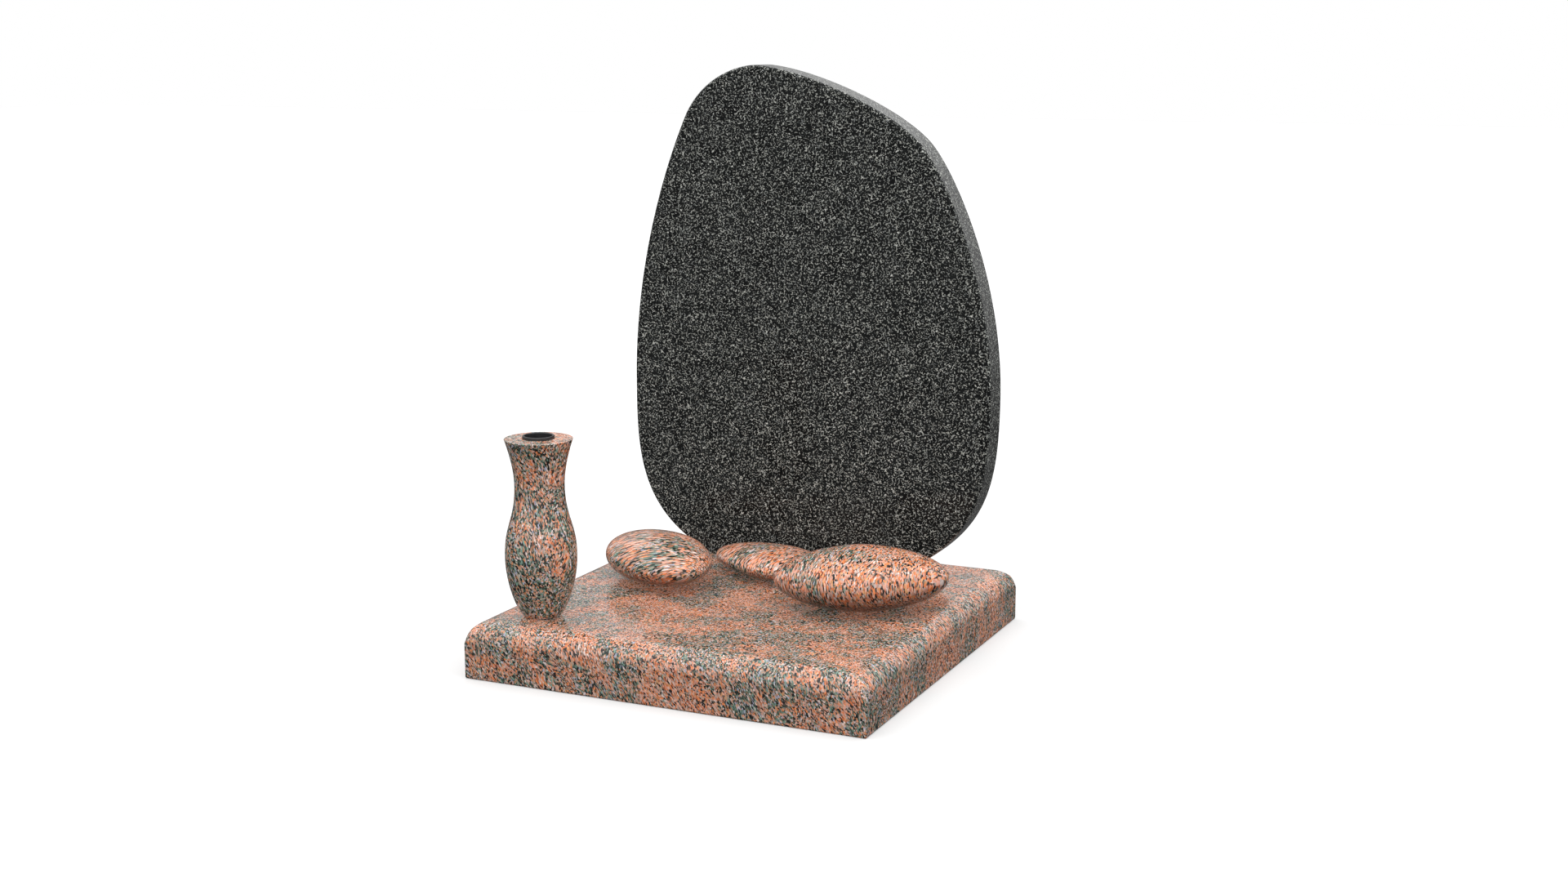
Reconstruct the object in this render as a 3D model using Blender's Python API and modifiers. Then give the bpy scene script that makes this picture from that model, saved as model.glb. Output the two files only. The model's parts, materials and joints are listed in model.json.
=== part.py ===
"""Grave monument: a square granite slab that carries an upright egg-shaped headstone,
a turned vase with its liner, and three lens-like pebbles.

Units are metres. +Z is up and -Y is the front. The origin is on the ground, under the
middle of the slab.
"""

import math
from typing import NamedTuple

import bmesh
import bpy
from mathutils import Matrix, Vector

COLLECTION_NAME = "grave_monument"

# Clearance between a resting piece and what carries it
REST_GAP = 0.0003

# Base slab
SLAB_WIDTH = 0.600
SLAB_DEPTH = 0.600
SLAB_THICKNESS = 0.080
SLAB_TOP_ROUNDING = 0.030
SLAB_ARRIS = 0.003
SLAB_ROUNDING_SEGMENTS = 8

# Headstone
STONE_WIDTH = 0.582
STONE_HEIGHT = 0.750
STONE_THICKNESS = 0.052
STONE_EDGE_ROUNDING = 0.005
STONE_EDGE_SEGMENTS = 3
STONE_BACK_MARGIN = 0.064
STONE_CURVE_STEPS = 14

# Vase
VASE_HEIGHT = 0.251
VASE_FOOT_RADIUS = 0.0230
VASE_BELLY_RADIUS = 0.0499
VASE_NECK_RADIUS = 0.0346
VASE_LIP_RADIUS = 0.0474
VASE_LIP_ROUNDING = 0.0008
VASE_SIDE_MARGIN = 0.0811
VASE_FRONT_MARGIN = 0.0765
VASE_STEPS = 40
VASE_CURVE_STEPS = 8

# The vase's curve: heights and Bezier handles as shares of its height
VASE_BELLY_SHARE = 0.343
VASE_NECK_SHARE = 0.740
VASE_FOOT_HANDLE = (0.044, 0.016)
VASE_BELLY_HANDLES = (0.157, 0.183)
VASE_NECK_HANDLES = (0.192, 0.078)
VASE_LIP_HANDLE = (0.031, 0.093)

# Liner in the vase, and the bore that takes it
LINER_OUTER_RADIUS = 0.0205
LINER_WALL = 0.0015
LINER_LENGTH = 0.150
LINER_RIM_OVERLAP = 0.0013
LINER_RIM_HEIGHT = 0.004
LINER_RIM_ROUNDING = 0.0012
LINER_STEPS = 32
BORE_CLEARANCE = 0.0003
BORE_END_CLEARANCE = 0.005

# Pebbles: the turn of the long axis is counted from +X, anticlockwise from above
PEBBLE_LEFT_LENGTH = 0.228
PEBBLE_LEFT_WIDTH = 0.148
PEBBLE_LEFT_HEIGHT = 0.070
PEBBLE_LEFT_TURN = math.radians(-40.0)
PEBBLE_MIDDLE_LENGTH = 0.221
PEBBLE_MIDDLE_WIDTH = 0.126
PEBBLE_MIDDLE_HEIGHT = 0.044
PEBBLE_MIDDLE_TURN = math.radians(-20.0)
PEBBLE_RIGHT_LENGTH = 0.248
PEBBLE_RIGHT_WIDTH = 0.174
PEBBLE_RIGHT_HEIGHT = 0.088
PEBBLE_RIGHT_TURN = math.radians(27.0)
PEBBLE_LENS_EXPONENT = 1.7
PEBBLE_SEGMENTS = 32
PEBBLE_RINGS = 20

# The middle pebble lies in front of the headstone
MIDDLE_TO_STONE = 0.0118
MIDDLE_SIDE_SHIFT = -0.014

# The other two lie beside it: bearing of the gap, slide along the gap, and the gap
LEFT_BEARING = math.radians(-133.0)
LEFT_SLIDE = -0.0472
LEFT_CLEARANCE = 0.0200
RIGHT_BEARING = math.radians(-45.0)
RIGHT_SLIDE = 0.0555
RIGHT_CLEARANCE = 0.0092

# Colours and roughness of the materials
RED_GRANITE = (0.48, 0.24, 0.17, 1.0)
DARK_GRANITE = (0.075, 0.077, 0.072, 1.0)
LINER_GREY = (0.035, 0.035, 0.037, 1.0)
POLISHED = 0.18
LINER_ROUGHNESS = 0.45

# Points closer than this are one point of the same surface
WELD_DISTANCE = 0.00005

# Places and fits that follow from the sizes above
SLAB_FRONT = -SLAB_DEPTH / 2
SLAB_BACK = SLAB_DEPTH / 2
SLAB_LEFT = -SLAB_WIDTH / 2
BED_HEIGHT = SLAB_THICKNESS + REST_GAP
STONE_CENTRE_Y = SLAB_BACK - STONE_BACK_MARGIN - STONE_THICKNESS / 2
STONE_FRONT_Y = STONE_CENTRE_Y - STONE_THICKNESS / 2
VASE_X = SLAB_LEFT + VASE_SIDE_MARGIN
VASE_Y = SLAB_FRONT + VASE_FRONT_MARGIN
VASE_TOP = BED_HEIGHT + VASE_HEIGHT
BORE_RADIUS = LINER_OUTER_RADIUS + BORE_CLEARANCE
BORE_FLOOR = VASE_HEIGHT - LINER_LENGTH - BORE_END_CLEARANCE
LINER_RIM_RADIUS = BORE_RADIUS + LINER_RIM_OVERLAP


class OutlinePoint(NamedTuple):
    """A smooth point of the headstone's outline, in shares of its own size.

    across is a share of the width from the left side, and up a share of the height from
    the foot. The curve passes it at the heading, in degrees anticlockwise from +X, and
    before and after are its handles' lengths as shares of the height.
    """

    across: float
    up: float
    heading: float
    before: float
    after: float


# The outline from the foot's left end round the top to its right end
STONE_OUTLINE = (
    OutlinePoint(0.222, 0.000, 156.5, 0.000, 0.190),
    OutlinePoint(0.000, 0.353, 90.0, 0.142, 0.230),
    OutlinePoint(0.150, 0.893, 65.6, 0.126, 0.101),
    OutlinePoint(0.369, 1.000, -6.0, 0.036, 0.109),
    OutlinePoint(0.807, 0.852, -47.8, 0.081, 0.073),
    OutlinePoint(1.000, 0.366, -90.0, 0.228, 0.192),
    OutlinePoint(0.763, 0.000, -150.9, 0.182, 0.000),
)


class Pebble(NamedTuple):
    """A pebble's half sizes and the turn of its long axis."""

    half_length: float
    half_width: float
    half_height: float
    turn: float


PEBBLE_LEFT = Pebble(
    PEBBLE_LEFT_LENGTH / 2, PEBBLE_LEFT_WIDTH / 2, PEBBLE_LEFT_HEIGHT / 2, PEBBLE_LEFT_TURN
)
PEBBLE_MIDDLE = Pebble(
    PEBBLE_MIDDLE_LENGTH / 2, PEBBLE_MIDDLE_WIDTH / 2, PEBBLE_MIDDLE_HEIGHT / 2, PEBBLE_MIDDLE_TURN
)
PEBBLE_RIGHT = Pebble(
    PEBBLE_RIGHT_LENGTH / 2, PEBBLE_RIGHT_WIDTH / 2, PEBBLE_RIGHT_HEIGHT / 2, PEBBLE_RIGHT_TURN
)


def clear_scene():
    """Removes every object, so that the file holds the monument alone."""
    for item in list(bpy.data.objects):
        bpy.data.objects.remove(item, do_unlink=True)


def new_collection(name):
    """Returns a new collection linked to the scene."""
    collection = bpy.data.collections.new(name)
    bpy.context.scene.collection.children.link(collection)
    return collection


def new_material(name, colour, roughness):
    """Returns a Principled material of one colour."""
    material = bpy.data.materials.new(name)
    material.use_nodes = True
    shader = material.node_tree.nodes["Principled BSDF"]
    shader.inputs["Base Color"].default_value = colour
    shader.inputs["Roughness"].default_value = roughness
    shader.inputs["Metallic"].default_value = 0.0
    material.diffuse_color = colour
    return material


def add_object(name, data, collection, material):
    """Returns a new object of that name in the collection, wearing the material."""
    item = bpy.data.objects.new(name, data)
    collection.objects.link(item)
    data.materials.append(material)
    return item


def bezier_arc(start, start_handle, end_handle, end, steps):
    """Returns the points of one cubic arc after its start, its end included."""
    points = []
    for step in range(1, steps + 1):
        t = step / steps
        s = 1.0 - t
        outer = s**3 * Vector(start) + t**3 * Vector(end)
        inner = 3 * s * s * t * Vector(start_handle) + 3 * s * t * t * Vector(end_handle)
        points.append(outer + inner)
    return points


def round_arc(centre, radius, first_angle, last_angle, steps):
    """Returns the points of a circular arc, both ends included."""
    points = []
    for step in range(steps + 1):
        angle = first_angle + (last_angle - first_angle) * step / steps
        points.append(Vector(centre) + radius * Vector((math.cos(angle), math.sin(angle))))
    return points


def turned_object(name, profile, steps, collection, material):
    """Returns a body turned around its own Z axis from a profile of (radius, height)."""
    mesh = bpy.data.meshes.new(name)
    shape = bmesh.new()
    verts = [shape.verts.new((radius, 0.0, height)) for radius, height in profile]
    for first, second in zip(verts, verts[1:]):
        shape.edges.new((first, second))
    shape.to_mesh(mesh)
    shape.free()
    item = add_object(name, mesh, collection, material)
    screw = item.modifiers.new("Turn", "SCREW")
    screw.axis = "Z"
    screw.angle = 2 * math.pi
    screw.steps = steps
    screw.render_steps = steps
    screw.use_merge_vertices = True
    screw.merge_threshold = WELD_DISTANCE
    screw.use_smooth_shade = True
    return item


def build_slab(collection, material):
    """A square slab: large roundings along the top, fine ones elsewhere."""
    mesh = bpy.data.meshes.new("base_slab")
    shape = bmesh.new()
    bmesh.ops.create_cube(shape, size=1.0)
    size = Matrix.Diagonal((SLAB_WIDTH, SLAB_DEPTH, SLAB_THICKNESS, 1.0))
    bmesh.ops.transform(shape, matrix=size, verts=shape.verts)
    weight = shape.edges.layers.float.new("bevel_weight_edge")
    for edge in shape.edges:
        on_top = all(vert.co.z > 0 for vert in edge.verts)
        edge[weight] = 1.0 if on_top else SLAB_ARRIS / SLAB_TOP_ROUNDING
    shape.to_mesh(mesh)
    shape.free()
    slab = add_object("base_slab", mesh, collection, material)
    slab.location.z = SLAB_THICKNESS / 2
    bevel = slab.modifiers.new("Rounding", "BEVEL")
    bevel.limit_method = "WEIGHT"
    bevel.width = SLAB_TOP_ROUNDING
    bevel.segments = SLAB_ROUNDING_SEGMENTS
    return slab


def build_headstone(collection, material):
    """An upright plate with an egg-shaped outline and a flat foot."""
    outline = bpy.data.curves.new("headstone", "CURVE")
    outline.dimensions = "2D"
    outline.fill_mode = "BOTH"
    outline.extrude = STONE_THICKNESS / 2
    outline.resolution_u = STONE_CURVE_STEPS
    spline = outline.splines.new("BEZIER")
    spline.bezier_points.add(len(STONE_OUTLINE) - 1)
    spline.use_cyclic_u = True
    for knot, point in zip(spline.bezier_points, STONE_OUTLINE):
        heading = math.radians(point.heading)
        forward = STONE_HEIGHT * Vector((math.cos(heading), math.sin(heading), 0.0))
        knot.handle_left_type = "FREE"
        knot.handle_right_type = "FREE"
        knot.co = ((point.across - 0.5) * STONE_WIDTH, point.up * STONE_HEIGHT, 0.0)
        knot.handle_left = knot.co - point.before * forward
        knot.handle_right = knot.co + point.after * forward
    stone = add_object("headstone", outline, collection, material)
    stone.location = (0.0, STONE_CENTRE_Y, BED_HEIGHT)
    stone.rotation_euler.x = math.pi / 2
    weld = stone.modifiers.new("Join caps", "WELD")
    weld.merge_threshold = WELD_DISTANCE
    bevel = stone.modifiers.new("Edge rounding", "BEVEL")
    bevel.limit_method = "ANGLE"
    bevel.angle_limit = math.radians(60.0)
    bevel.width = STONE_EDGE_ROUNDING
    bevel.segments = STONE_EDGE_SEGMENTS
    return stone


def vase_outer_profile():
    """Returns the vase's outer side from the lip down to the foot, as (radius, height)."""
    lip = Vector((VASE_LIP_RADIUS, VASE_HEIGHT))
    neck = Vector((VASE_NECK_RADIUS, VASE_NECK_SHARE * VASE_HEIGHT))
    belly = Vector((VASE_BELLY_RADIUS, VASE_BELLY_SHARE * VASE_HEIGHT))
    foot = Vector((VASE_FOOT_RADIUS, 0.0))
    lip_handle = lip - VASE_HEIGHT * Vector(VASE_LIP_HANDLE)
    foot_handle = foot + VASE_HEIGHT * Vector(VASE_FOOT_HANDLE)
    up = Vector((0.0, VASE_HEIGHT))
    neck_below, neck_above = neck - VASE_NECK_HANDLES[0] * up, neck + VASE_NECK_HANDLES[1] * up
    belly_below, belly_above = belly - VASE_BELLY_HANDLES[0] * up, belly + VASE_BELLY_HANDLES[1] * up

    lip_centre = lip - Vector((VASE_LIP_ROUNDING, VASE_LIP_ROUNDING))
    profile = round_arc(lip_centre, VASE_LIP_ROUNDING, math.pi / 2, 0.0, 2)
    profile += bezier_arc(lip, lip_handle, neck_above, neck, VASE_CURVE_STEPS)
    profile += bezier_arc(neck, neck_below, belly_above, belly, VASE_CURVE_STEPS)
    profile += bezier_arc(belly, belly_below, foot_handle, foot, VASE_CURVE_STEPS)
    return profile


def build_vase(collection, material):
    """A turned vase with a flat foot, a flared lip and a blind bore."""
    profile = [(0.0, BORE_FLOOR), (BORE_RADIUS, BORE_FLOOR), (BORE_RADIUS, VASE_HEIGHT)]
    profile += vase_outer_profile() + [(0.0, 0.0)]
    vase = turned_object("vase", profile, VASE_STEPS, collection, material)
    vase.location = (VASE_X, VASE_Y, BED_HEIGHT)
    return vase


def build_liner(collection, material):
    """A thin cup that hangs in the vase's bore by a raised, rounded rim."""
    inner_radius = LINER_OUTER_RADIUS - LINER_WALL
    inner_floor = LINER_WALL - LINER_LENGTH
    rounding = LINER_RIM_ROUNDING
    crest = LINER_RIM_HEIGHT - rounding
    profile = [(0.0, inner_floor), (inner_radius, inner_floor)]
    profile += round_arc((inner_radius + rounding, crest), rounding, math.pi, math.pi / 2, 2)
    profile += round_arc((LINER_RIM_RADIUS - rounding, crest), rounding, math.pi / 2, 0.0, 2)
    profile += [(LINER_RIM_RADIUS, 0.0), (LINER_OUTER_RADIUS, 0.0)]
    profile += [(LINER_OUTER_RADIUS, -LINER_LENGTH), (0.0, -LINER_LENGTH)]
    liner = turned_object("vase_liner", profile, LINER_STEPS, collection, material)
    liner.location = (VASE_X, VASE_Y, VASE_TOP + REST_GAP)
    return liner


def reach(pebble, bearing):
    """Returns how far a pebble's plan reaches from its centre towards a bearing."""
    along = pebble.half_length * math.cos(bearing - pebble.turn)
    across = pebble.half_width * math.sin(bearing - pebble.turn)
    return math.hypot(along, across)


def beside(neighbour, centre, pebble, bearing, slide, clearance):
    """Returns the place of a pebble that lies next to a neighbour.

    The bearing points from the neighbour's centre across the gap between the two, and
    the slide runs along the gap, a quarter turn to the left of the bearing.
    """
    across = Vector((math.cos(bearing), math.sin(bearing)))
    along = Vector((-across.y, across.x))
    distance = reach(neighbour, bearing) + clearance + reach(pebble, bearing)
    return centre + across * distance + along * slide


def build_pebble(name, pebble, centre, collection, material):
    """A flattened lens-like ellipsoid with a small flat spot under it."""
    mesh = bpy.data.meshes.new(name)
    shape = bmesh.new()
    bmesh.ops.create_uvsphere(
        shape, u_segments=PEBBLE_SEGMENTS, v_segments=PEBBLE_RINGS, radius=1.0
    )
    underside = -math.cos(math.pi / PEBBLE_RINGS)
    for vert in shape.verts:
        lens = math.copysign(abs(vert.co.x) ** (2.0 / PEBBLE_LENS_EXPONENT), vert.co.x)
        vert.co.x = pebble.half_length * lens
        vert.co.y *= pebble.half_width
        vert.co.z = pebble.half_height * max(vert.co.z, underside)
    shape.to_mesh(mesh)
    shape.free()
    mesh.shade_smooth()
    item = add_object(name, mesh, collection, material)
    item.location = (centre.x, centre.y, BED_HEIGHT - pebble.half_height * underside)
    item.rotation_euler.z = pebble.turn
    return item


def build_pebbles(collection, materials):
    """Three pebbles, laid out from the headstone forwards."""
    middle_y = STONE_FRONT_Y - MIDDLE_TO_STONE - reach(PEBBLE_MIDDLE, math.pi / 2)
    middle = Vector((MIDDLE_SIDE_SHIFT, middle_y))
    left = beside(PEBBLE_MIDDLE, middle, PEBBLE_LEFT, LEFT_BEARING, LEFT_SLIDE, LEFT_CLEARANCE)
    right = beside(PEBBLE_MIDDLE, middle, PEBBLE_RIGHT, RIGHT_BEARING, RIGHT_SLIDE, RIGHT_CLEARANCE)
    places = (
        ("pebble_left", PEBBLE_LEFT, left),
        ("pebble_middle", PEBBLE_MIDDLE, middle),
        ("pebble_right", PEBBLE_RIGHT, right),
    )
    for name, pebble, centre in places:
        build_pebble(name, pebble, centre, collection, materials[name])


def main():
    """Builds the whole monument."""
    clear_scene()
    collection = new_collection(COLLECTION_NAME)
    materials = {
        "base_slab": new_material("slab_granite", RED_GRANITE, POLISHED),
        "headstone": new_material("headstone_granite", DARK_GRANITE, POLISHED),
        "vase": new_material("vase_granite", RED_GRANITE, POLISHED),
        "vase_liner": new_material("liner_plastic", LINER_GREY, LINER_ROUGHNESS),
        "pebble_left": new_material("pebble_left_granite", RED_GRANITE, POLISHED),
        "pebble_middle": new_material("pebble_middle_granite", RED_GRANITE, POLISHED),
        "pebble_right": new_material("pebble_right_granite", RED_GRANITE, POLISHED),
    }
    build_slab(collection, materials["base_slab"])
    build_headstone(collection, materials["headstone"])
    build_vase(collection, materials["vase"])
    build_liner(collection, materials["vase_liner"])
    build_pebbles(collection, materials)


main()
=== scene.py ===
"""Grave monument: a red granite slab, a dark granite headstone, a turned vase and three pebbles.

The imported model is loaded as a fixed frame. Each of its nodes is replaced by a finer piece of
the same shape and size, polished and grained like the real stones. Units are metres, +Z is up
and -Y is the front.
"""

import json
import logging
import math
from dataclasses import dataclass
from enum import Enum

import bmesh
import bpy
from mathutils import Matrix, Vector

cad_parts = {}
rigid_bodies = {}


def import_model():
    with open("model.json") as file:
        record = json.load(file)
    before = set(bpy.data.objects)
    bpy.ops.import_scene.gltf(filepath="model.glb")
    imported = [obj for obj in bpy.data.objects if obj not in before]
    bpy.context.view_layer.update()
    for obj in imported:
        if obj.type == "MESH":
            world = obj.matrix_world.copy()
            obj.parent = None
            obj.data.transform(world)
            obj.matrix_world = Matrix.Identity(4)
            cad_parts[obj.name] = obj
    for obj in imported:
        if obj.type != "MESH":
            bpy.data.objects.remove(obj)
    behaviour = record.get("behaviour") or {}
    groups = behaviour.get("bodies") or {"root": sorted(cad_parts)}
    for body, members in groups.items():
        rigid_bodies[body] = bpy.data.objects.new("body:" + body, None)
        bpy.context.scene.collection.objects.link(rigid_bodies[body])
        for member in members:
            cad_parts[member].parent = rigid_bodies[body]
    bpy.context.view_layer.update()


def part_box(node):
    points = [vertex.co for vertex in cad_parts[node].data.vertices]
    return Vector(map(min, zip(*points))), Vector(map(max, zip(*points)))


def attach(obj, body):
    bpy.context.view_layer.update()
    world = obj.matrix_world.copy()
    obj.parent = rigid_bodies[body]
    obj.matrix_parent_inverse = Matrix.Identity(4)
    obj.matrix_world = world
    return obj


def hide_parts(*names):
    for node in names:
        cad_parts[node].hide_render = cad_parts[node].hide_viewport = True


LOG = logging.getLogger("grave_monument")
BODY = "root"
BEVEL_PROFILE = 0.5
KEEP_MATERIAL = -1
SLAB_TOP = 0.080
PEBBLE_SPECULAR = 0.25
FULL_TURN = 2.0 * math.pi
HALF_TURN = math.pi
QUARTER_TURN = math.pi / 2.0
MERGE_DISTANCE = 1e-6
FULL_WEIGHT = 100
NODE_SPACING = 180.0
MIX_SHARE = 0
MIX_FIRST = 6
MIX_SECOND = 7
MIX_RESULT = 2

Triple = tuple[float, float, float]
Span = tuple[float, float]
Colour = Triple
Stops = tuple[tuple[float, Colour], ...]
Socket = bpy.types.NodeSocket

ZERO: Triple = (0.0, 0.0, 0.0)
ONE: Triple = (1.0, 1.0, 1.0)
HALF: Triple = (0.5, 0.5, 0.5)
BLACK: Colour = (0.0, 0.0, 0.0)
WHITE: Colour = (1.0, 1.0, 1.0)


class Blend(Enum):
    """How a colour ramp passes from one stop to the next."""

    HARD = "CONSTANT"
    STRAIGHT = "LINEAR"
    SOFT = "EASE"


class Grain(Enum):
    """The long direction of a stone's grains, as a turn of the pattern about X, Y and Z."""

    UPRIGHT = (0.0, math.radians(12.0), 0.0)
    LEANING = (0.0, math.radians(28.0), 0.0)
    LYING = (math.radians(70.0), math.radians(-20.0), 0.0)
    ACROSS = (math.radians(25.0), math.radians(-65.0), math.radians(30.0))


class NodeBench:
    """Lays out and joins the nodes of one material or world."""

    def __init__(self, owner: bpy.types.Material | bpy.types.World) -> None:
        """Empties the nodes of a material or a world.

        Args:
            owner: The material or world.
        """
        self.owner = owner
        owner.use_nodes = True
        self.tree = owner.node_tree
        self.tree.nodes.clear()
        self.column = 0

    @classmethod
    def for_material(cls, name: str) -> "NodeBench":
        """Starts a new material of that name."""
        return cls(bpy.data.materials.new(name))

    def add(self, kind: str, values: dict[str, object] | None = None, **settings: object) -> bpy.types.Node:
        """Adds one node.

        Args:
            kind: The node's type, without the ShaderNode at its start.
            values: Numbers or colours for its input sockets, by socket name.
            **settings: Values for the node's own properties.

        Returns:
            The new node.
        """
        node = self.tree.nodes.new("ShaderNode" + kind)
        for name, value in settings.items():
            setattr(node, name, value)
        for name, value in (values or {}).items():
            node.inputs[name].default_value = value
        node.location.x = NODE_SPACING * self.column
        self.column += 1
        return node

    def join(self, source: Socket, target: Socket) -> None:
        """Joins an output to an input."""
        self.tree.links.new(source, target)

    def place(self, turn: Triple = ZERO, shift: Triple = ZERO, scale: Triple = ONE) -> Socket:
        """Gives the object's own coordinates, turned, shifted and scaled.

        Args:
            turn: Turn about X, Y and Z.
            shift: Shift in metres.
            scale: Scale along each axis.

        Returns:
            The coordinates' output.
        """
        own = self.add("TexCoord")
        rotated = self.add("Mapping", {"Rotation": turn})
        mapped = self.add("Mapping", {"Location": shift, "Scale": scale})
        self.join(own.outputs["Object"], rotated.inputs["Vector"])
        self.join(rotated.outputs["Vector"], mapped.inputs["Vector"])
        return mapped.outputs["Vector"]

    def noise(self, place: Socket, size: float, detail: float, distortion: float = 0.0) -> bpy.types.Node:
        """Adds a cloud pattern.

        Args:
            place: The coordinates that it reads.
            size: The size of its features in metres.
            detail: How many finer layers it has.
            distortion: How far it is stirred.

        Returns:
            The noise node.
        """
        node = self.add("TexNoise", {"Scale": 1.0 / size, "Detail": detail, "Distortion": distortion})
        self.join(place, node.inputs["Vector"])
        return node

    def cells(self, place: Socket, size: float) -> tuple[Socket, Socket, Socket]:
        """Adds a mosaic of grains.

        Args:
            place: The coordinates that it reads.
            size: The size of a grain in metres.

        Returns:
            Three random numbers that each grain has for itself.
        """
        mosaic = self.add("TexVoronoi", {"Scale": 1.0 / size})
        split = self.add("SeparateColor")
        self.join(place, mosaic.inputs["Vector"])
        self.join(mosaic.outputs["Color"], split.inputs["Color"])
        return split.outputs["Red"], split.outputs["Green"], split.outputs["Blue"]

    def stirred(self, place: Socket, size: float, reach: float) -> Socket:
        """Moves coordinates about, so that grains get uneven edges.

        Args:
            place: The coordinates to move.
            size: The size of the swirls in metres.
            reach: How far a point may move in metres.

        Returns:
            The moved coordinates.
        """
        swirl = self.noise(place, size, 1.0)
        centred = self.add("VectorMath", operation="SUBTRACT")
        centred.inputs[1].default_value = HALF
        scaled = self.add("VectorMath", {"Scale": 2.0 * reach}, operation="SCALE")
        moved = self.add("VectorMath", operation="ADD")
        self.join(swirl.outputs["Color"], centred.inputs[0])
        self.join(centred.outputs["Vector"], scaled.inputs[0])
        self.join(place, moved.inputs[0])
        self.join(scaled.outputs["Vector"], moved.inputs[1])
        return moved.outputs["Vector"]

    def leaned(self, base: Socket, lean: Socket, strength: float) -> Socket:
        """Adds a centred share of one number to another.

        Args:
            base: The number that is changed.
            lean: The number that changes it, from 0 to 1.
            strength: How much of it is added.

        Returns:
            base + (lean - 0.5) * strength.
        """
        centred = self.add("Math", operation="SUBTRACT")
        centred.inputs[1].default_value = 0.5
        total = self.add("Math", operation="MULTIPLY_ADD")
        total.inputs[1].default_value = strength
        self.join(lean, centred.inputs[0])
        self.join(centred.outputs["Value"], total.inputs[0])
        self.join(base, total.inputs[2])
        return total.outputs["Value"]

    def risen(self, low: float, high: float) -> Socket:
        """Gives the share of the way up from one height to another.

        Args:
            low: The height at which it is 0.
            high: The height at which it is 1.

        Returns:
            The share's output.
        """
        own = self.add("TexCoord")
        split = self.add("SeparateXYZ")
        self.join(own.outputs["Object"], split.inputs["Vector"])
        return self.spread(split.outputs["Z"], (low, high), (0.0, 1.0))

    def ramp(self, number: Socket, stops: Stops, blend: Blend = Blend.STRAIGHT) -> Socket:
        """Turns a number into a colour.

        Args:
            number: The number, from 0 to 1.
            stops: Places and colours.
            blend: How one colour passes to the next.

        Returns:
            The colour's output.
        """
        node = self.add("ValToRGB")
        band = node.color_ramp
        band.interpolation = blend.value
        while len(band.elements) < len(stops):
            band.elements.new(1.0)
        for element, (at, colour) in zip(band.elements, stops):
            element.position = at
            element.color = (*colour, 1.0)
        self.join(number, node.inputs["Fac"])
        return node.outputs["Color"]

    def mixed(self, first: Socket, second: Socket, share: Socket) -> Socket:
        """Mixes two colours.

        Args:
            first: The first colour.
            second: The second colour.
            share: How much of the second, from 0 to 1.

        Returns:
            The mixed colour's output.
        """
        node = self.add("Mix", data_type="RGBA", blend_type="MIX")
        self.join(first, node.inputs[MIX_FIRST])
        self.join(second, node.inputs[MIX_SECOND])
        self.join(share, node.inputs[MIX_SHARE])
        return node.outputs[MIX_RESULT]

    def multiplied(self, first: Socket, second: Socket) -> Socket:
        """Multiplies two colours.

        Args:
            first: The first colour.
            second: The second colour.

        Returns:
            The product's output.
        """
        node = self.add("Mix", data_type="RGBA", blend_type="MULTIPLY")
        node.inputs[MIX_SHARE].default_value = 1.0
        self.join(first, node.inputs[MIX_FIRST])
        self.join(second, node.inputs[MIX_SECOND])
        return node.outputs[MIX_RESULT]

    def spread(self, number: Socket, span: Span, levels: Span) -> Socket:
        """Maps a number from one span to another.

        Args:
            number: The number.
            span: The values between which it is read.
            levels: What they become.

        Returns:
            The new number's output.
        """
        node = self.add("MapRange")
        node.inputs["From Min"].default_value, node.inputs["From Max"].default_value = span
        node.inputs["To Min"].default_value, node.inputs["To Max"].default_value = levels
        self.join(number, node.inputs["Value"])
        return node.outputs["Result"]

    def grazing(self, span: Span, levels: Span) -> Socket:
        """Gives a number that rises as a surface is seen more from its side.

        Args:
            span: The shares of facing away between which it rises.
            levels: Its values before and after.

        Returns:
            The number's output.
        """
        weight = self.add("LayerWeight", {"Blend": 0.5})
        return self.spread(weight.outputs["Facing"], span, levels)

    def finish(
        self, roughness: float, specular: float, colour: Socket, gloss: Socket | None = None
    ) -> bpy.types.Material:
        """Ends the material in a Principled shader.

        Args:
            roughness: The shader's roughness.
            specular: The shader's specular level.
            colour: The base colour's output.
            gloss: An output that gives the specular level instead, if there is one.

        Returns:
            The finished material.
        """
        shader = self.add("BsdfPrincipled", {"Roughness": roughness, "Specular IOR Level": specular})
        surface = self.add("OutputMaterial")
        self.join(colour, shader.inputs["Base Color"])
        if gloss is not None:
            self.join(gloss, shader.inputs["Specular IOR Level"])
        self.join(shader.outputs["BSDF"], surface.inputs["Surface"])
        return self.owner


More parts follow.
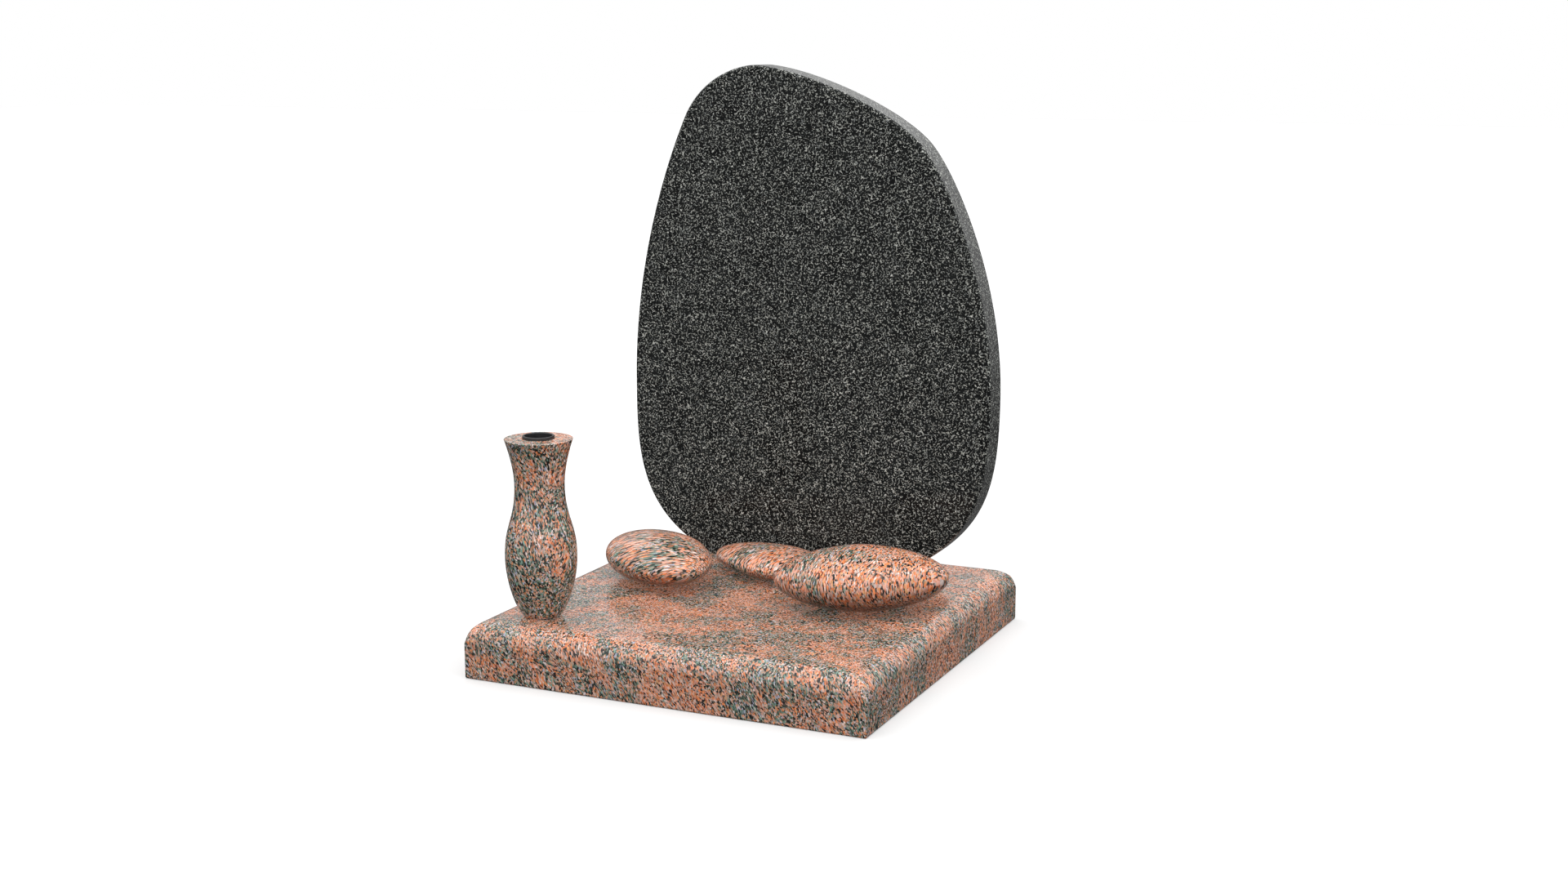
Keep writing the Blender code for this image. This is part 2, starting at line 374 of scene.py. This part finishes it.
@dataclass(frozen=True)
class RedGranite:
    """Polished multicolour granite: bands of salmon and orange grains among grey-green ones.

    flatness and slimness are the grains' thinness across their long direction, as scales of the
    pattern. flow bends the strokes and swirl roughens their edges. Bands part warm stone from
    cool, clouds and single grains lean their border about, and warmth moves it. The foot settings
    paint shade into the colour: at the height foot the base colour is multiplied by the foot
    darkness, and this painted shade fades out over the fade height above it.
    """

    name: str
    grain: Grain
    shift: Triple = ZERO
    warmth: float = 0.0
    lightness: float = 1.0
    grain_size: float = 0.0015
    flatness: float = 0.85
    slimness: float = 0.50
    flow_size: float = 0.045
    flow_reach: float = 0.012
    swirl_size: float = 0.0030
    swirl_reach: float = 0.0006
    band_size: float = 0.085
    band_scale: Triple = (1.0, 1.0, 0.7)
    band_detail: float = 2.0
    band_stir: float = 1.0
    band_edge: float = 0.47
    band_blur: float = 0.06
    cloud_size: float = 0.014
    cloud_detail: float = 2.0
    cloud_lean: float = 0.60
    grain_lean: float = 0.15
    tone_lean: float = 0.30
    darkest_grain: float = 0.74
    lightest_grain: float = 1.26
    # Painted shade towards the stone's foot: the height where it starts, how far up it fades and how dark
    # it is.
    foot: float = 0.0
    foot_shade_fade: float = 0.0
    foot_painted_shade: float = 1.0
    roughness: float = 0.12
    specular: float = 0.5
    warm: Stops = (
        (0.00, (0.014, 0.012, 0.011)),
        (0.14, (0.095, 0.070, 0.055)),
        (0.25, (0.280, 0.225, 0.190)),
        (0.33, (0.600, 0.180, 0.065)),
        (0.48, (0.600, 0.310, 0.220)),
        (0.61, (0.520, 0.255, 0.115)),
        (0.69, (0.350, 0.100, 0.045)),
        (0.77, (0.540, 0.270, 0.210)),
        (0.88, (0.430, 0.345, 0.315)),
        (0.95, (0.610, 0.480, 0.430)),
    )
    cool: Stops = (
        (0.00, (0.008, 0.010, 0.009)),
        (0.22, (0.036, 0.058, 0.043)),
        (0.41, (0.115, 0.148, 0.110)),
        (0.53, (0.140, 0.235, 0.192)),
        (0.61, (0.310, 0.310, 0.390)),
        (0.67, (0.320, 0.275, 0.225)),
        (0.76, (0.430, 0.235, 0.170)),
        (0.86, (0.480, 0.195, 0.090)),
        (0.95, (0.540, 0.450, 0.430)),
    )

    def material(self) -> bpy.types.Material:
        """Makes the material.

        Returns:
            The finished material.
        """
        bench = NodeBench.for_material(self.name)
        along = bench.place(self.grain.value, self.shift, (1.0, self.flatness, self.slimness))
        flowing = bench.stirred(along, self.flow_size, self.flow_reach)
        uneven = bench.stirred(flowing, self.swirl_size, self.swirl_reach)
        tone, tint, pick = bench.cells(uneven, self.grain_size)
        place = bench.place(self.grain.value, self.shift, self.band_scale)
        clouds = bench.noise(place, self.cloud_size, self.cloud_detail).outputs["Fac"]
        tone = bench.leaned(tone, clouds, self.tone_lean)
        bands = bench.noise(place, self.band_size, self.band_detail, self.band_stir).outputs["Fac"]
        share = bench.leaned(bench.leaned(bands, clouds, self.cloud_lean), pick, self.grain_lean)
        edge = self.band_edge + self.warmth
        coolness = bench.ramp(share, ((edge, BLACK), (edge + self.band_blur, WHITE)))
        warm = bench.ramp(tone, self.warm, Blend.HARD)
        cool = bench.ramp(tone, self.cool, Blend.HARD)
        colour = bench.mixed(warm, cool, coolness)
        darkest = (self.darkest_grain * self.lightness,) * 3
        lightest = (self.lightest_grain * self.lightness,) * 3
        lighter = bench.ramp(tint, ((0.0, darkest), (1.0, lightest)))
        colour = bench.multiplied(colour, lighter)
        # Painted shade: the base colour is darkened towards the stone's foot, where it lies on the slab,
        # and fades out higher up.
        if self.foot_shade_fade > 0.0:
            risen = bench.risen(self.foot, self.foot + self.foot_shade_fade)
            shade = bench.ramp(risen, ((0.0, (self.foot_painted_shade,) * 3), (1.0, WHITE)), Blend.SOFT)
            colour = bench.multiplied(colour, shade)
        return bench.finish(self.roughness, self.specular, colour)


@dataclass(frozen=True)
class DarkGranite:
    """Polished charcoal granite with a dense net of small grey worm-like flecks.

    The flecks follow the middle line of a noise, and a second noise breaks them up. The gloss
    rises from specular to edge_specular where the surface is seen from its side.
    """

    name: str
    net_size: float = 0.0031
    net_stir: float = 0.3
    break_size: float = 0.0029
    break_shift: Triple = (0.37, 0.53, 0.71)
    drift_size: float = 0.030
    drift_detail: float = 2.0
    roughness: float = 0.10
    specular: float = 0.09
    edge_specular: float = 0.8
    edge_span: Span = (0.35, 0.75)
    ground: Stops = ((0.35, (0.0040, 0.0046, 0.0047)), (0.65, (0.0110, 0.0122, 0.0122)))
    flecks: Stops = (
        (0.0, (0.180, 0.190, 0.190)),
        (0.4, (0.270, 0.280, 0.258)),
        (0.8, (0.370, 0.378, 0.345)),
        (1.0, (0.560, 0.568, 0.535)),
    )
    line: Stops = ((0.430, BLACK), (0.455, WHITE), (0.545, WHITE), (0.570, BLACK))
    gaps: Stops = ((0.42, BLACK), (0.50, WHITE))

    def material(self) -> bpy.types.Material:
        """Makes the material.

        Returns:
            The finished material.
        """
        bench = NodeBench.for_material(self.name)
        place = bench.place()
        folds = bench.noise(place, self.net_size, 0.0, self.net_stir).outputs["Fac"]
        net = bench.ramp(folds, self.line)
        other = bench.place(shift=self.break_shift)
        breaks = bench.noise(other, self.break_size, 0.0).outputs["Fac"]
        worms = bench.multiplied(net, bench.ramp(breaks, self.gaps))
        drift = bench.noise(place, self.drift_size, self.drift_detail).outputs["Fac"]
        ground = bench.ramp(drift, self.ground)
        tint, _, _ = bench.cells(place, self.net_size)
        colour = bench.mixed(ground, bench.ramp(tint, self.flecks), worms)
        gloss = bench.grazing(self.edge_span, (self.specular, self.edge_specular))
        return bench.finish(self.roughness, self.specular, colour, gloss)


@dataclass(frozen=True)
class LinerPlastic:
    """Plain dark plastic with a faint mottle."""

    name: str
    mottle_size: float = 0.004
    mottle_detail: float = 3.0
    roughness: float = 0.42
    specular: float = 0.5
    palette: Stops = ((0.3, (0.010, 0.010, 0.011)), (0.7, (0.022, 0.022, 0.024)))

    def material(self) -> bpy.types.Material:
        """Makes the material.

        Returns:
            The finished material.
        """
        bench = NodeBench.for_material(self.name)
        mottle = bench.noise(bench.place(), self.mottle_size, self.mottle_detail).outputs["Fac"]
        return bench.finish(self.roughness, self.specular, bench.ramp(mottle, self.palette))


def mesh_piece(name: str, shape: bmesh.types.BMesh) -> bpy.types.Object:
    """Turns a finished bmesh into a smooth-shaded object at the origin.

    Args:
        name: The piece's name.
        shape: The bmesh, which is freed.

    Returns:
        The new object.
    """
    bmesh.ops.recalc_face_normals(shape, faces=shape.faces)
    mesh = bpy.data.meshes.new(name)
    shape.to_mesh(mesh)
    shape.free()
    mesh.shade_smooth()
    piece = bpy.data.objects.new(name, mesh)
    bpy.context.scene.collection.objects.link(piece)
    return piece


def keep_faces_flat(piece: bpy.types.Object) -> None:
    """Weighs normals by face area, so that a large flat face stays flat up to its rounding."""
    weighted = piece.modifiers.new("Flat faces", "WEIGHTED_NORMAL")
    weighted.mode = "FACE_AREA"
    weighted.weight = FULL_WEIGHT
    weighted.keep_sharp = True


def dress(piece: bpy.types.Object, node: str, material: bpy.types.Material) -> None:
    """Gives a piece its finish and its place in the frame.

    Args:
        piece: The piece.
        node: The CAD node that it stands for.
        material: Its finish.
    """
    piece.data.materials.append(material)
    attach(piece, BODY)
    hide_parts(node)
    LOG.info("%s: %d faces", piece.name, len(piece.data.polygons))


def bezier_arc(
    start: Vector, start_handle: Vector, end_handle: Vector, end: Vector, steps: int
) -> list[Vector]:
    """Works out a cubic arc.

    Args:
        start: The arc's start, which isn't repeated in the result.
        start_handle: The handle that leaves the start.
        end_handle: The handle that arrives at the end.
        end: The arc's end.
        steps: The number of points.

    Returns:
        The points after the start, the end included.
    """
    points = []
    for step in range(1, steps + 1):
        t = step / steps
        s = 1.0 - t
        outer = s**3 * start + t**3 * end
        inner = 3 * s * s * t * start_handle + 3 * s * t * t * end_handle
        points.append(outer + inner)
    return points


def round_arc(centre: Vector, radius: float, first: float, last: float, steps: int) -> list[Vector]:
    """Works out a circular arc.

    Args:
        centre: The circle's centre.
        radius: Its radius.
        first: The angle at which the arc starts.
        last: The angle at which it ends.
        steps: The number of stretches.

    Returns:
        The points, both ends included.
    """
    angles = [first + (last - first) * step / steps for step in range(steps + 1)]
    return [centre + radius * Vector((math.cos(angle), math.sin(angle))) for angle in angles]


def turned(profile: list[Vector], axis: Vector, steps: int) -> bmesh.types.BMesh:
    """Turns a profile into a closed round body.

    Args:
        profile: Points of (radius, height), with both ends on the axis.
        axis: A point on the upright axis, at the profile's zero height.
        steps: The number of steps of the full turn.

    Returns:
        The turned bmesh.
    """
    shape = bmesh.new()
    verts = [shape.verts.new(axis + Vector((point.x, 0.0, point.y))) for point in profile]
    edges = [shape.edges.new(pair) for pair in zip(verts, verts[1:])]
    bmesh.ops.spin(
        shape,
        geom=verts + edges,
        cent=axis,
        axis=(0.0, 0.0, 1.0),
        angle=FULL_TURN,
        steps=steps,
        use_merge=True,
    )
    bmesh.ops.remove_doubles(shape, verts=shape.verts, dist=MERGE_DISTANCE)
    return shape


@dataclass
class BaseSlab:
    """The square slab, with large roundings along its top and fine ones elsewhere."""

    top_rounding: float = 0.030
    arris: float = 0.003
    segments: int = 20
    finish: RedGranite = RedGranite(
        name="slab granite",
        grain=Grain.LEANING,
        shift=(0.40, 0.15, 0.90),
        warmth=0.01,
        lightness=1.01,
    )

    def build(self) -> None:
        """Builds and dresses the slab."""
        low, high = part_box("base_slab")
        size = high - low
        shape = bmesh.new()
        place = Matrix.Translation((low + high) / 2) @ Matrix.Diagonal((*size, 1.0))
        bmesh.ops.create_cube(shape, size=1.0, matrix=place)
        weight = shape.edges.layers.float.new("bevel_weight_edge")
        for edge in shape.edges:
            on_top = all(vert.co.z > low.z + size.z / 2 for vert in edge.verts)
            edge[weight] = 1.0 if on_top else self.arris / self.top_rounding
        slab = mesh_piece("slab", shape)
        bevel = slab.modifiers.new("Rounding", "BEVEL")
        bevel.limit_method = "WEIGHT"
        bevel.width = self.top_rounding
        bevel.segments = self.segments
        keep_faces_flat(slab)
        dress(slab, "base_slab", self.finish.material())


@dataclass(frozen=True)
class OutlinePoint:
    """A smooth point of the headstone's outline, in shares of its own size.

    across is a share of the width from the left side, and up a share of the height from the
    foot. The curve passes it at the heading, in degrees anticlockwise from +X, and before and
    after are its handles' lengths as shares of the height.
    """

    across: float
    up: float
    heading: float
    before: float
    after: float


@dataclass
class Headstone:
    """The upright egg-shaped plate with its flat foot."""

    edge_rounding: float = 0.005
    edge_segments: int = 6
    edge_angle: float = math.radians(60.0)
    sharp_angle: float = math.radians(50.0)
    curve_steps: int = 40
    outline: tuple[OutlinePoint, ...] = (
        OutlinePoint(0.222, 0.000, 156.5, 0.000, 0.190),
        OutlinePoint(0.000, 0.353, 90.0, 0.142, 0.230),
        OutlinePoint(0.150, 0.893, 65.6, 0.126, 0.101),
        OutlinePoint(0.369, 1.000, -6.0, 0.036, 0.109),
        OutlinePoint(0.807, 0.852, -47.8, 0.081, 0.073),
        OutlinePoint(1.000, 0.366, -90.0, 0.228, 0.192),
        OutlinePoint(0.763, 0.000, -150.9, 0.182, 0.000),
    )
    finish: DarkGranite = DarkGranite("headstone granite")

    def knots(self, width: float, height: float) -> list[tuple[Vector, Vector, Vector]]:
        """Works out the outline's knots.

        Args:
            width: The headstone's width.
            height: The outline's height.

        Returns:
            Handle before, knot and handle after, each as (across, up).
        """
        found = []
        for point in self.outline:
            heading = math.radians(point.heading)
            forward = height * Vector((math.cos(heading), math.sin(heading)))
            knot = Vector((point.across * width, point.up * height))
            found.append((knot - point.before * forward, knot, knot + point.after * forward))
        return found

    def curve(self, width: float, height: float) -> list[Vector]:
        """Works out the outline's points, without the straight foot's end.

        Args:
            width: The headstone's width.
            height: The outline's height.

        Returns:
            Points of (across, up).
        """
        knots = self.knots(width, height)
        points = [knots[0][1]]
        for (_, start, leave), (arrive, end, _) in zip(knots, knots[1:]):
            points += bezier_arc(start, leave, arrive, end, self.curve_steps)
        return points

    def build(self) -> None:
        """Builds and dresses the headstone."""
        low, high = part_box("headstone")
        points = self.curve(high.x - low.x, high.z - low.z)
        rise = (high.z - low.z) / max(point.y for point in points)
        shape = bmesh.new()
        rim = [shape.verts.new((low.x + point.x, low.y, low.z + rise * point.y)) for point in points]
        face = shape.faces.new(rim)
        grown = bmesh.ops.extrude_face_region(shape, geom=[face])
        back = [item for item in grown["geom"] if isinstance(item, bmesh.types.BMVert)]
        bmesh.ops.translate(shape, verts=back, vec=(0.0, high.y - low.y, 0.0))
        bmesh.ops.recalc_face_normals(shape, faces=shape.faces)
        edges = [edge for edge in shape.edges if edge.calc_face_angle(0.0) > self.edge_angle]
        bmesh.ops.bevel(
            shape,
            geom=edges,
            offset=self.edge_rounding,
            segments=self.edge_segments,
            profile=BEVEL_PROFILE,
            affect="EDGES",
            material=KEEP_MATERIAL,
        )
        stone = mesh_piece("headstone_plate", shape)
        stone.data.set_sharp_from_angle(angle=self.sharp_angle)
        keep_faces_flat(stone)
        dress(stone, "headstone", self.finish.material())


@dataclass
class Vase:
    """The turned vase with its flared lip and blind bore."""

    foot_radius: float = 0.0230
    belly_radius: float = 0.0499
    neck_radius: float = 0.0346
    lip_radius: float = 0.0474
    lip_rounding: float = 0.0008
    lip_steps: int = 4
    bore_radius: float = 0.0208
    bore_depth: float = 0.155
    belly_share: float = 0.343
    neck_share: float = 0.740
    foot_handle: tuple[float, float] = (0.044, 0.016)
    belly_handles: tuple[float, float] = (0.157, 0.183)
    neck_handles: tuple[float, float] = (0.192, 0.078)
    lip_handle: tuple[float, float] = (0.031, 0.093)
    steps: int = 120
    curve_steps: int = 32
    sharp_angle: float = math.radians(35.0)
    finish: RedGranite = RedGranite(
        name="vase granite",
        grain=Grain.UPRIGHT,
        shift=(0.90, 0.40, 0.45),
        warmth=-0.03,
        lightness=1.17,
        grain_size=0.0016,
        flatness=0.90,
    )

    def profile(self, height: float) -> list[Vector]:
        """Works out the vase's section.

        Args:
            height: The vase's height.

        Returns:
            Points of (radius, height) from the bore's floor round the lip to the foot.
        """
        lip = Vector((self.lip_radius, height))
        neck = Vector((self.neck_radius, self.neck_share * height))
        belly = Vector((self.belly_radius, self.belly_share * height))
        foot = Vector((self.foot_radius, 0.0))
        up = Vector((0.0, height))
        under_lip = lip - height * Vector(self.lip_handle)
        over_neck = neck + self.neck_handles[1] * up
        under_neck = neck - self.neck_handles[0] * up
        over_belly = belly + self.belly_handles[1] * up
        under_belly = belly - self.belly_handles[0] * up
        over_foot = foot + height * Vector(self.foot_handle)
        floor = height - self.bore_depth
        lip_centre = lip - Vector((self.lip_rounding, self.lip_rounding))
        section = [Vector((0.0, floor)), Vector((self.bore_radius, floor))]
        section.append(Vector((self.bore_radius, height)))
        section += round_arc(lip_centre, self.lip_rounding, QUARTER_TURN, 0.0, self.lip_steps)
        section += bezier_arc(lip, under_lip, over_neck, neck, self.curve_steps)
        section += bezier_arc(neck, under_neck, over_belly, belly, self.curve_steps)
        section += bezier_arc(belly, under_belly, over_foot, foot, self.curve_steps)
        section.append(Vector((0.0, 0.0)))
        return section

    def build(self) -> None:
        """Builds and dresses the vase."""
        low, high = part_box("vase")
        axis = Vector(((low.x + high.x) / 2, (low.y + high.y) / 2, low.z))
        vase = mesh_piece("vase_body", turned(self.profile(high.z - low.z), axis, self.steps))
        vase.data.set_sharp_from_angle(angle=self.sharp_angle)
        keep_faces_flat(vase)
        dress(vase, "vase", self.finish.material())


@dataclass
class VaseLiner:
    """The dark cup in the vase's bore, with its raised, rounded rim."""

    outer_radius: float = 0.0205
    wall: float = 0.0015
    length: float = 0.150
    rim_radius: float = 0.0221
    rim_height: float = 0.004
    rim_rounding: float = 0.0012
    rim_steps: int = 6
    steps: int = 96
    sharp_angle: float = math.radians(35.0)
    finish: LinerPlastic = LinerPlastic("liner plastic")

    def profile(self) -> list[Vector]:
        """Works out the liner's section.

        Returns:
            Points of (radius, height over the vase's top), from its inner floor round the rim.
        """
        inner = self.outer_radius - self.wall
        crest = self.rim_height - self.rim_rounding
        floor = self.wall - self.length
        inner_crest = Vector((inner + self.rim_rounding, crest))
        outer_crest = Vector((self.rim_radius - self.rim_rounding, crest))
        section = [Vector((0.0, floor)), Vector((inner, floor))]
        section += round_arc(inner_crest, self.rim_rounding, HALF_TURN, QUARTER_TURN, self.rim_steps)
        section += round_arc(outer_crest, self.rim_rounding, QUARTER_TURN, 0.0, self.rim_steps)
        section += [Vector((self.rim_radius, 0.0)), Vector((self.outer_radius, 0.0))]
        section += [Vector((self.outer_radius, -self.length)), Vector((0.0, -self.length))]
        return section

    def build(self) -> None:
        """Builds and dresses the liner."""
        low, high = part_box("vase_liner")
        axis = Vector(((low.x + high.x) / 2, (low.y + high.y) / 2, high.z - self.rim_height))
        liner = mesh_piece("liner_cup", turned(self.profile(), axis, self.steps))
        liner.data.set_sharp_from_angle(angle=self.sharp_angle)
        keep_faces_flat(liner)
        dress(liner, "vase_liner", self.finish.material())


@dataclass
class Pebble:
    """A polished lens-like pebble with a small flat spot under it."""

    side: str
    length: float
    width: float
    height: float
    turn: float
    finish: RedGranite
    lens_exponent: float = 1.7
    flat_share: float = math.cos(math.pi / 20)
    around: int = 144
    rings: int = 80

    def build(self) -> None:
        """Builds and dresses the pebble."""
        node = "pebble_" + self.side
        low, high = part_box(node)
        shape = bmesh.new()
        bmesh.ops.create_uvsphere(shape, u_segments=self.around, v_segments=self.rings, radius=1.0)
        for vert in shape.verts:
            lens = math.copysign(abs(vert.co.x) ** (2.0 / self.lens_exponent), vert.co.x)
            vert.co.x = self.length / 2 * lens
            vert.co.y *= self.width / 2
            vert.co.z = self.height / 2 * max(vert.co.z, -self.flat_share)
        middle = Vector(((low.x + high.x) / 2, (low.y + high.y) / 2, high.z - self.height / 2))
        place = Matrix.Translation(middle) @ Matrix.Rotation(self.turn, 4, "Z")
        bmesh.ops.transform(shape, matrix=place, verts=shape.verts)
        pebble = mesh_piece("polished_" + node, shape)
        dress(pebble, node, self.finish.material())


@dataclass
class Studio:
    """A pale floor, a soft dome of white light and the camera."""

    floor_size: float = 40.0
    floor_white: float = 0.60
    floor_cloud: float = 0.5
    floor_roughness: float = 0.9
    backdrop_white: float = 1.0
    dome_bright: float = 1.88
    dome_dim: float = 0.12
    dome_span: Span = (-0.3, 0.9)
    dome_toward: Triple = (0.14, -0.20, 1.0)
    fill_strength: float = 1.5
    fill_toward: Triple = (0.10, -0.10, 1.0)
    fill_spread: float = math.radians(60.0)
    lens: float = 46.23
    sensor: float = 36.0
    camera_place: Triple = (1.2129, -2.5419, 0.8603)
    camera_pitch: float = math.radians(11.147)
    camera_yaw: float = math.radians(24.614)

    def floor(self) -> None:
        """Lays the floor, which catches soft shadows but throws no light back on the object."""
        shape = bmesh.new()
        bmesh.ops.create_grid(shape, x_segments=1, y_segments=1, size=self.floor_size / 2)
        floor = mesh_piece("studio_floor", shape)
        bench = NodeBench.for_material("studio floor")
        cloud = bench.noise(bench.place(), self.floor_cloud, 1.0).outputs["Fac"]
        white = (self.floor_white,) * 3
        colour = bench.ramp(cloud, ((0.0, white), (1.0, white)))
        floor.data.materials.append(bench.finish(self.floor_roughness, 0.0, colour))
        floor.visible_diffuse = False
        floor.visible_glossy = False

    def dome(self) -> None:
        """Surrounds the object with white light, strongest from above and a little from the front right."""
        world = bpy.data.worlds.new("studio")
        bench = NodeBench(world)
        way = bench.add("TexCoord")
        facing = bench.add("VectorMath", operation="DOT_PRODUCT")
        facing.inputs[1].default_value = Vector(self.dome_toward).normalized()
        levels = (self.dome_dim, self.dome_bright)
        strength = bench.spread(facing.outputs["Value"], self.dome_span, levels)
        light = bench.add("Background", {"Color": (*WHITE, 1.0)})
        seen = bench.add("Background", {"Color": (*WHITE, 1.0), "Strength": self.backdrop_white})
        path = bench.add("LightPath")
        either = bench.add("MixShader")
        surface = bench.add("OutputWorld")
        bench.join(way.outputs["Generated"], facing.inputs[0])
        bench.join(strength, light.inputs["Strength"])
        bench.join(path.outputs["Is Camera Ray"], either.inputs["Fac"])
        bench.join(light.outputs["Background"], either.inputs[1])
        bench.join(seen.outputs["Background"], either.inputs[2])
        bench.join(either.outputs["Shader"], surface.inputs["Surface"])
        bpy.context.scene.world = world

    def fill(self) -> None:
        """Adds a broad fill lamp that lightens the shadows and shows in no reflection."""
        data = bpy.data.lights.new("fill", "SUN")
        data.energy = self.fill_strength
        data.angle = self.fill_spread
        data.use_shadow = False
        lamp = bpy.data.objects.new("fill", data)
        lamp.visible_glossy = False
        lamp.rotation_euler = Vector(self.fill_toward).to_track_quat("Z", "Y").to_euler()
        bpy.context.scene.collection.objects.link(lamp)

    def camera(self) -> None:
        """Sets the camera at the viewing angle."""
        data = bpy.data.cameras.new("camera")
        data.lens = self.lens
        data.sensor_width = self.sensor
        camera = bpy.data.objects.new("camera", data)
        bpy.context.scene.collection.objects.link(camera)
        camera.location = self.camera_place
        camera.rotation_euler = (QUARTER_TURN - self.camera_pitch, 0.0, self.camera_yaw)
        bpy.context.scene.camera = camera

    def build(self) -> None:
        """Builds the studio and sets plain colours."""
        self.floor()
        self.dome()
        self.fill()
        self.camera()
        bpy.context.scene.view_settings.view_transform = "Standard"


def clear_scene() -> None:
    """Removes whatever the new file holds."""
    for item in list(bpy.data.objects):
        bpy.data.objects.remove(item, do_unlink=True)


def pebbles() -> tuple[Pebble, ...]:
    """Gives the three pebbles from left to right, each with painted shade that darkens it towards the slab
    that it lies on.
    """
    left = Pebble(
        side="left",
        length=0.228,
        width=0.148,
        height=0.070,
        turn=math.radians(-40.0),
        finish=RedGranite(
            name="left pebble granite",
            grain=Grain.ACROSS,
            shift=(0.71, 0.02, 0.43),
            warmth=0.03,
            lightness=1.18,
            grain_size=0.0014,
            flatness=0.60,
            slimness=0.14,
            foot=SLAB_TOP,
            foot_shade_fade=0.040,
            foot_painted_shade=0.25,
            specular=PEBBLE_SPECULAR,
        ),
    )
    middle = Pebble(
        side="middle",
        length=0.221,
        width=0.126,
        height=0.044,
        turn=math.radians(-20.0),
        finish=RedGranite(
            name="middle pebble granite",
            grain=Grain.LYING,
            shift=(0.23, 0.57, 0.11),
            warmth=0.03,
            lightness=1.12,
            grain_size=0.0014,
            flatness=0.60,
            slimness=0.18,
            foot=SLAB_TOP,
            foot_shade_fade=0.026,
            foot_painted_shade=0.25,
            specular=PEBBLE_SPECULAR,
        ),
    )
    right = Pebble(
        side="right",
        length=0.248,
        width=0.174,
        height=0.088,
        turn=math.radians(27.0),
        finish=RedGranite(
            name="right pebble granite",
            grain=Grain.UPRIGHT,
            shift=(0.05, 0.83, 0.67),
            warmth=0.08,
            lightness=1.02,
            grain_size=0.0014,
            flatness=0.35,
            slimness=0.30,
            foot=SLAB_TOP,
            foot_shade_fade=0.058,
            foot_painted_shade=0.12,
            specular=PEBBLE_SPECULAR,
        ),
    )
    return left, middle, right


def main() -> None:
    """Builds the monument's pieces and the studio round them."""
    Studio().build()
    BaseSlab().build()
    Headstone().build()
    Vase().build()
    VaseLiner().build()
    for pebble in pebbles():
        pebble.build()


if __name__ == "__main__":
    logging.basicConfig(level=logging.INFO)
    clear_scene()
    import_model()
    main()
